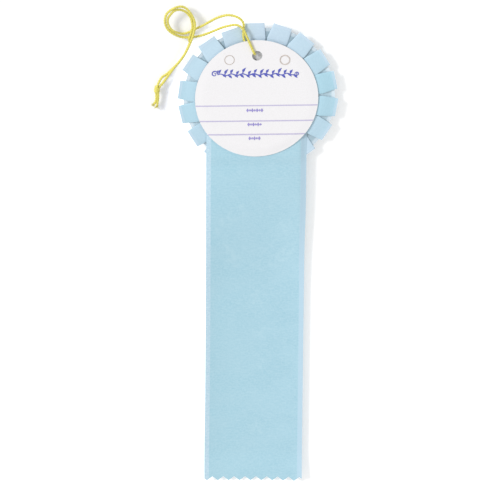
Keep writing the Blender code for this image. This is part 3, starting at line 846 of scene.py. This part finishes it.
def build_card():
    loops = [circle(CARD_CENTRE, CARD_RADIUS, 180), circle(HOLE_CENTRE, HOLE_RADIUS, 56)]
    loops += slit_loops()
    points = []
    edges = []
    for loop in loops:
        first = len(points)
        points += [Vector(p) / MM for p in loop]
        edges += [(first + i, first + (i + 1) % len(loop)) for i in range(len(loop))]
    spacing = 1.3
    for row in range(-24, 25):
        for column in range(-24, 25):
            x = (column + 0.5 * (row % 2)) * spacing
            y = row * spacing * 0.866
            if hypot(x, y) < CARD_RADIUS / MM - 0.7:
                points.append(Vector((x + CARD_CENTRE[0] / MM, y + CARD_CENTRE[1] / MM)))
    placed, _, triangles, *_ = delaunay_2d_cdt(points, edges, [], 0, 0.001)
    kept = []
    for triangle in triangles:
        x, y = sum((placed[i] for i in triangle), Vector((0, 0))) * MM / 3
        outside = hypot(x - CARD_CENTRE[0], y - CARD_CENTRE[1]) > CARD_RADIUS
        in_hole = hypot(x - HOLE_CENTRE[0], y - HOLE_CENTRE[1]) < HOLE_RADIUS
        if not outside and not in_hole and not in_slit(x, y):
            kept.append(tuple(triangle))
    used = sorted({i for triangle in kept for i in triangle})
    order = {old: new for new, old in enumerate(used)}
    places = [placed[i] * MM for i in used]
    vertices = [(place.x, place.y, card_level(place.x, place.y)) for place in places]
    faces = [tuple(order[i] for i in triangle) for triangle in kept]
    card = mesh_piece("card", vertices, faces, card_stock())
    thicken(card, CARD_THICKNESS)
    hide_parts("back_card")
    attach(card, "rosette")


# Ink on the card: an ornament in place of the heading, three rules and small marks

INK_HEIGHT = 0.02 * MM
RULES_Y = [-3.6 * MM, -11.8 * MM, -19.0 * MM]
RULE_HALF = 0.32 * MM
MARK_COUNTS = (7, 6, 5)
MARK_X = -1.75 * MM
MARK_DROPS = (2.5 * MM, 1.85 * MM, 2.1 * MM)  # from a rule down to its marks
MARK_PITCH = 1.2 * MM
VINE_LEFT = -20.6 * MM
VINE_RIGHT = 18.4 * MM
VINE_Y = 13.05 * MM
VINE_WAVE = 5.6 * MM


def stroke(points, widths, steps=8):
    """An inked stroke as a strip of quads through smooth points, its width varying."""
    path = smooth_route([Vector((x, y, 0)) for x, y in points], steps)
    vertices = []
    for i, point in enumerate(path):
        ahead = path[min(i + 1, len(path) - 1)]
        behind = path[max(i - 1, 0)]
        along = (ahead - behind).normalized()
        share = i / (len(path) - 1) * (len(widths) - 1)
        k = min(int(share), len(widths) - 2)
        half = (widths[k] + (widths[k + 1] - widths[k]) * (share - k)) / 2
        side = Vector((-along.y, along.x, 0)) * half
        vertices += [point + side, point - side]
    faces = [(2 * i, 2 * i + 1, 2 * i + 3, 2 * i + 2) for i in range(len(path) - 1)]
    return vertices, faces


def smooth_route(points, steps=20):
    """Points on the Catmull-Rom curve through the route's own points."""
    route = [2 * points[0] - points[1]] + list(points) + [2 * points[-1] - points[-2]]
    fine = []
    for a, b, c, d in zip(route, route[1:], route[2:], route[3:]):
        for i in range(steps):
            t = i / steps
            fine.append(0.5 * (2 * b + (c - a) * t + (2 * a - 5 * b + 4 * c - d) * t * t
                               + (3 * b - a - 3 * c + d) * t * t * t))
    fine.append(route[-2])
    return fine


def print_piece(name, shapes, finish):
    """Ink shapes laid on the card's upper face."""
    vertices, faces = [], []
    for k, (points, polygons) in enumerate(shapes):
        first = len(vertices)
        layer = 1 + (k - 1) % 3 if k else 0
        for point in points:
            lift = INK_HEIGHT * (1 + 1.3 * layer)
            level = card_level(point.x, point.y) + CARD_THICKNESS / 2 + lift
            vertices.append((point.x, point.y, level))
        faces += [tuple(first + i for i in polygon) for polygon in polygons]
    printed = mesh_piece(name, vertices, faces, finish, smooth=False)
    shape = bmesh.new()
    shape.from_mesh(printed.data)
    bmesh.ops.recalc_face_normals(shape, faces=shape.faces)
    shape.to_mesh(printed.data)
    shape.free()
    thicken(printed, INK_HEIGHT)
    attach(printed, "rosette")


def spiral(x, y, size, start, flip, turns=1.35):
    """A curl that winds in to its eye."""
    points = []
    for share in spread(0.0, 1.0, 12):
        turn = radians(start) + flip * share * turns * 2 * pi
        reach = size * (1 - 0.8 * share)
        points.append((x + reach * cos(turn), y + reach * sin(turn)))
    return stroke(points, [0.2 * MM, 0.62 * MM, 0.5 * MM, 0.3 * MM, 0.5 * MM], 4)


def leaf(x, y, length, width, lean_degrees):
    turn = radians(lean_degrees)
    tip = (x + length * cos(turn), y + length * sin(turn))
    bow = (-0.12 * length * sin(turn), 0.12 * length * cos(turn))
    middle_point = ((x + tip[0]) / 2 + bow[0], (y + tip[1]) / 2 + bow[1])
    return stroke([(x, y), middle_point, tip], [0.12 * MM, width, 0.08 * MM], 8)


def heading_shapes():
    """A running vine: a waved stem, leaves on both sides of it and a curl at each end."""
    def stem(x):
        return VINE_Y + 0.42 * MM * sin(2 * pi * (x - VINE_LEFT) / VINE_WAVE)

    points = [(x, stem(x)) for x in spread(VINE_LEFT, VINE_RIGHT, 49)]
    shapes = [stroke(points, [0.5 * MM, 0.7 * MM, 0.5 * MM], 2)]
    for i, x in enumerate(spread(VINE_LEFT + 0.6 * MM, VINE_RIGHT - 0.9 * MM, 26)):
        start, lean_degrees = (-0.1, -38) if i % 2 else (0.1, 62)
        length = (3.6 if i % 6 == 2 else 2.7) * MM
        shapes.append(leaf(x, stem(x) + start * MM, length, 1.35 * MM, lean_degrees))
    shapes.append(spiral(VINE_LEFT - 1.55 * MM, VINE_Y + 0.45 * MM, 1.75 * MM, -20, 1))
    shapes.append(leaf(VINE_LEFT - 0.3 * MM, VINE_Y + 0.3 * MM, 2.3 * MM, 0.8 * MM, 74))
    shapes.append(spiral(VINE_RIGHT + 0.95 * MM, VINE_Y + 0.05 * MM, 1.1 * MM, 190, -1))
    return shapes


def rule_shapes():
    shapes = []
    for y in RULES_Y:
        half = sqrt((CARD_RADIUS - 0.15 * MM) ** 2 - (y - CARD_CENTRE[1]) ** 2)
        xs = spread(CARD_CENTRE[0] - half, CARD_CENTRE[0] + half, 60)
        points = [Vector((x, y + side * RULE_HALF, 0)) for x in xs for side in (1, -1)]
        shapes.append((points, [(2 * i, 2 * i + 1, 2 * i + 3, 2 * i + 2) for i in range(59)]))
    return shapes


def diamond(x, y, half_width, half_height):
    points = [(half_width, 0), (0, half_height), (-half_width, 0), (0, -half_height)]
    return [Vector((x + u, y + v, 0)) for u, v in points], [(0, 1, 2, 3)]


def mark_shapes():
    """Under each rule, a short row of tall and small diamonds."""
    shapes = []
    for y, count, drop in zip(RULES_Y, MARK_COUNTS, MARK_DROPS):
        for k in range(count):
            x = MARK_X + (k - (count - 1) / 2) * MARK_PITCH
            half_width, half_height = (0.6, 0.7) if k % 2 else (0.72, 1.1)
            shapes.append(diamond(x, y - drop, half_width * MM, half_height * MM))
    return shapes


def scorch_shapes():
    """The cutter's pale brown rims on both sides of the knock-outs' slits, partly painted shade of
    the narrow cuts.
    """
    shapes = []
    for centre, half in zip(KNOCKOUT_PLACES, SCORCH_HALF):
        for inner, outer in ((KNOCKOUT_RADIUS - half, KNOCKOUT_RADIUS - SLIT_WIDTH / 2),
                             (KNOCKOUT_RADIUS + SLIT_WIDTH / 2, KNOCKOUT_RADIUS + half)):
            rims = circle(centre, inner, 48) + circle(centre, outer, 48)
            points = [Vector((*point, 0)) for point in rims]
            rim = [(i, (i + 1) % 48, 48 + (i + 1) % 48, 48 + i) for i in range(48)]
            shapes.append((points, rim))
    return shapes


def build_card_print():
    print_piece("cut_rims", scorch_shapes(), ink("scorch", (205, 194, 186), (214, 205, 198)))
    print_piece("heading_ornament", heading_shapes(),
                ink("heading_ink", (78, 84, 172), (98, 104, 190)))
    print_piece("card_rules", rule_shapes(), ink("rule_ink", (186, 180, 211), (197, 191, 217)))
    print_piece("card_marks", mark_shapes(), ink("mark_ink", (146, 138, 198), (164, 156, 212)))


# The string: two strands from the card's hole to the knot and past it, in millimetres

PLY_RADIUS = 0.46 * MM
PLY_OFFSET = 0.23 * MM
PLY_PITCH = 2.7 * MM
PLY_SIDES = 8
PLY_STEP = 0.3 * MM
FRONT_STRAND = [
    (-2.0, 23.9, 7.15), (-2.0, 24.0, 7.75), (-2.4, 24.8, 8.2), (-3.2, 26.6, 8.25),
    (-4.3, 29.2, 8.25), (-6.0, 33.2, 8.25), (-7.5, 36.5, 8.35), (-9.3, 38.8, 8.2),
    (-11.3, 39.5, 7.8), (-13.2, 39.3, 7.2), (-15.6, 38.6, 6.5), (-18.6, 37.4, 5.5),
    (-24.7, 34.3, 4.0), (-28.3, 32.8, 3.4), (-31.6, 31.9, 2.9), (-35.1, 31.5, 2.6),
    (-38.5, 31.6, 2.4), (-41.4, 32.6, 2.3), (-43.9, 34.1, 2.3), (-45.9, 36.4, 2.4),
    (-46.9, 39.6, 2.7), (-46.5, 43.1, 3.1), (-44.9, 45.5, 3.5), (-42.4, 47.2, 3.9),
    (-39.4, 48.3, 4.3), (-36.7, 47.7, 4.6), (-34.3, 45.0, 4.8), (-32.6, 41.8, 5.0),
    (-32.0, 39.0, 5.1), (-32.3, 36.1, 5.1), (-33.1, 32.8, 5.1), (-34.0, 30.1, 4.9),
    (-35.5, 26.2, 4.3), (-37.2, 22.7, 3.8), (-39.6, 19.0, 3.3), (-42.0, 15.9, 2.9),
    (-43.9, 13.3, 2.9), (-45.6, 10.9, 3.0), (-47.3, 8.4, 3.1), (-48.8, 6.5, 3.2),
    (-50.0, 5.1, 3.4), (-50.4, 3.1, 3.3),
]
FRONT_TAIL = [(-50.3, 1.1, 3.2), (-50.4, -0.9, 3.0), (-50.6, -2.9, 2.9), (-50.8, -4.7, 2.8)]
BACK_STRAND = [
    (-2.0, 23.9, 6.3), (-4.4, 26.6, 6.3), (-6.0, 28.5, 6.3), (-7.2, 30.6, 6.3),
    (-7.7, 33.4, 6.3), (-7.6, 38.8, 6.4), (-8.3, 41.0, 6.4), (-9.8, 42.5, 6.2),
    (-12.3, 43.6, 5.8), (-15.6, 43.9, 5.2), (-18.6, 43.1, 4.6), (-21.7, 41.8, 4.2),
    (-28.0, 37.9, 3.3), (-31.3, 36.2, 2.9), (-34.6, 34.3, 2.6), (-38.1, 33.4, 2.4),
    (-41.8, 34.2, 2.3), (-43.9, 35.8, 2.3), (-45.3, 38.4, 2.5), (-45.5, 41.2, 2.8),
    (-44.2, 43.6, 3.1), (-42.3, 45.7, 3.4), (-40.2, 46.4, 3.6), (-38.3, 46.2, 3.7),
    (-36.5, 45.3, 3.8), (-34.9, 43.6, 3.9), (-33.8, 41.7, 3.9), (-33.1, 37.7, 3.9),
    (-33.5, 35.7, 3.9), (-34.0, 33.6, 3.9), (-34.9, 30.8, 3.9), (-34.5, 29.0, 3.4),
    (-35.6, 25.7, 2.8), (-37.2, 21.9, 2.1), (-39.6, 18.3, 1.7), (-42.1, 15.4, 1.4),
    (-45.9, 11.8, 1.7), (-48.0, 10.6, 2.1), (-49.4, 8.9, 2.8), (-50.2, 7.3, 3.2),
    (-51.0, 5.3, 3.5), (-51.3, 3.1, 3.3),
]
BACK_TAIL = [(-51.2, 1.1, 3.2), (-51.2, -0.9, 3.0), (-51.6, -2.5, 2.9), (-52.4, -3.7, 2.8)]
LOOP_RISE = 2.6                      # how much higher the loop's far side stands, in mm
KNOT_CENTRE = Vector((-50.9, 4.2, 3.4)) * MM
KNOT_AXIS = Vector((-0.12, -0.99, -0.05)).normalized()


def even_points(points, step):
    """Points at even distances along a fine polyline."""
    lengths = [0.0]
    for a, b in zip(points, points[1:]):
        lengths.append(lengths[-1] + (b - a).length)
    count = max(2, round(lengths[-1] / step))
    placed = []
    k = 0
    for i in range(count + 1):
        target = lengths[-1] * i / count
        while k < len(points) - 2 and lengths[k + 1] < target:
            k += 1
        share = (target - lengths[k]) / (lengths[k + 1] - lengths[k])
        placed.append(points[k].lerp(points[k + 1], min(1.0, share)))
    return placed


def frames_along(points):
    """A direction and two side vectors at each point, without twist."""
    frames = []
    side = None
    for i, point in enumerate(points):
        along = (points[min(i + 1, len(points) - 1)] - points[max(i - 1, 0)]).normalized()
        if side is None:
            side = along.orthogonal().normalized()
        side = (side - along * side.dot(along)).normalized()
        frames.append((point, side, along.cross(side)))
    return frames


def tube_mesh(points, radius, sides, vertices, faces, uv, along_start=0.0):
    """Append a closed tube of the given radius, or radius at each point."""
    frames = frames_along(points)
    first = len(vertices)
    step = (points[1] - points[0]).length
    for j, (point, side, other) in enumerate(frames):
        size = radius[j] if isinstance(radius, list) else radius
        for i in range(sides):
            turn = 2 * pi * i / sides
            vertices.append(point + (side * cos(turn) + other * sin(turn)) * size)
            around = abs(2 * i / sides - 1) * pi * 0.3
            uv.append((around, along_start + j * step / MM))
    for j in range(len(frames) - 1):
        for i in range(sides):
            k = (i + 1) % sides
            faces.append((first + j * sides + i, first + j * sides + k,
                          first + (j + 1) * sides + k, first + (j + 1) * sides + i))
    last = first + (len(frames) - 1) * sides
    faces.append(tuple(first + i for i in reversed(range(sides))))
    faces.append(tuple(last + i for i in range(sides)))


def twisted_cord(points, vertices, faces, uv, phase=0.0):
    """Append a two-ply cord along evenly spaced points."""
    frames = frames_along(points)
    step = (points[1] - points[0]).length
    for ply in (0, 1):
        strand = []
        for j, (point, side, other) in enumerate(frames):
            turn = phase + ply * pi + 2 * pi * j * step / PLY_PITCH
            strand.append(point + (side * cos(turn) + other * sin(turn)) * PLY_OFFSET)
        tube_mesh(strand, PLY_RADIUS, PLY_SIDES, vertices, faces, uv, ply * 40.0)


def loop_raised(x, y, z):
    """A route's point, in metres, with the loop's far side raised and leaned back."""
    rise = LOOP_RISE * smoothstep(-x, 36.5, 43.0) * smoothstep(y, 27.0, 33.0)
    return Vector((x - 0.06 * rise, y + 0.387 * rise, z + rise)) * MM


def build_strand(name, route, replaced, phase, finish):
    fine = smooth_route([loop_raised(*p) for p in route])
    points = even_points(fine, PLY_STEP)
    vertices, faces, uv = [], [], []
    twisted_cord(points, vertices, faces, uv, phase)
    cord = mesh_piece(name, vertices, faces, finish, uv)
    cord.data.set_sharp_from_angle(angle=radians(60))
    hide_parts(*replaced)
    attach(cord, "string")


def build_knot(finish):
    """Three turns side by side round the two strands, as an overhand knot pulls up."""
    vertices, faces, uv = [], [], []
    side = KNOT_AXIS.orthogonal().normalized()
    other = KNOT_AXIS.cross(side)
    for wrap in range(3):
        path = []
        for share in spread(0.0, 1.0, 90):
            turn = radians(-150 + 480 * share + 25 * wrap)
            reach = (1.0 - 0.3 * abs(2 * share - 1) ** 3 - 0.1 * abs(wrap - 1)) * MM
            height = (0.95 * (wrap - 1) + 0.9 * (share - 0.5) + 0.35 * sin(turn)) * MM
            path.append(KNOT_CENTRE + (side * cos(turn) + other * sin(turn)) * reach
                        + KNOT_AXIS * height)
        twisted_cord(even_points(path, PLY_STEP), vertices, faces, uv, wrap)
    knot = mesh_piece("knot_wraps", vertices, faces, finish, uv)
    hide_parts("string_knot")
    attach(knot, "string")
    return knot


def build_fray(name, tail, seed, finish):
    """Loose fibres that fan out past a cut end."""
    draw = random.Random(seed)
    end = Vector(tail[-1]) * MM
    along = (end - Vector(tail[-2]) * MM).normalized()
    side = along.cross(Vector((0, 0, 1))).normalized()
    vertices, faces, uv = [], [], []
    for _ in range(30):
        start = end - along * 0.8 * MM + side * draw.uniform(-0.35, 0.35) * MM
        start.z += draw.uniform(-0.25, 0.3) * MM
        splay = draw.uniform(-0.62, 0.62)
        length = draw.uniform(1.4, 2.6) * MM
        curl = draw.uniform(-0.25, 0.25)
        path = []
        for share in spread(0.0, 1.0, 8):
            point = start + along * length * share
            point += side * length * (splay * share ** 1.5 + curl * share ** 3)
            point.z = max(0.1 * MM, start.z - 0.3 * MM * share)
            path.append(point)
        size = draw.uniform(0.07, 0.12) * MM
        tube_mesh(path, [size * (1 - 0.5 * i / 7) for i in range(8)], 5, vertices, faces, uv)
    fray = mesh_piece(name, vertices, faces, finish, uv)
    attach(fray, "string")
    return fray


def build_string():
    finish = string_fibre()
    knot = build_knot(finish)
    front_fray = build_fray("fray_right", FRONT_TAIL, 3, finish)
    back_fray = build_fray("fray_left", BACK_TAIL, 8, finish)
    build_strand("strand_front", FRONT_STRAND + FRONT_TAIL,
                 ["string_front", "string_tail_right"], 0.4, finish)
    build_strand("strand_back", BACK_STRAND + BACK_TAIL,
                 ["string_back", "string_tail_left"], 1.7, finish)


# CAD nodes that keep their shape

def finish_frame():
    """Give each CAD piece that stays its own material."""
    finishes = {
        clear_film(): ["button_film"],
        button_print(): ["button_print"],
        tinplate(): ["button_shell", "button_collet"],
        foam_tape(): ["button_tape", "card_tape_lower", "card_tape_upper"],
        chipboard(): ["backing_board", "spacer_board"],
        staple_wire(): ["staple_left", "staple_right"],
    }
    for finish, nodes in finishes.items():
        for node in nodes:
            for slot in bpy.data.objects[node].material_slots:
                slot.material = finish


place_camera()
place_light()
place_floor()
build_string()
build_pleats()
build_streamer()
build_foil()
build_card()
build_card_print()
finish_frame()
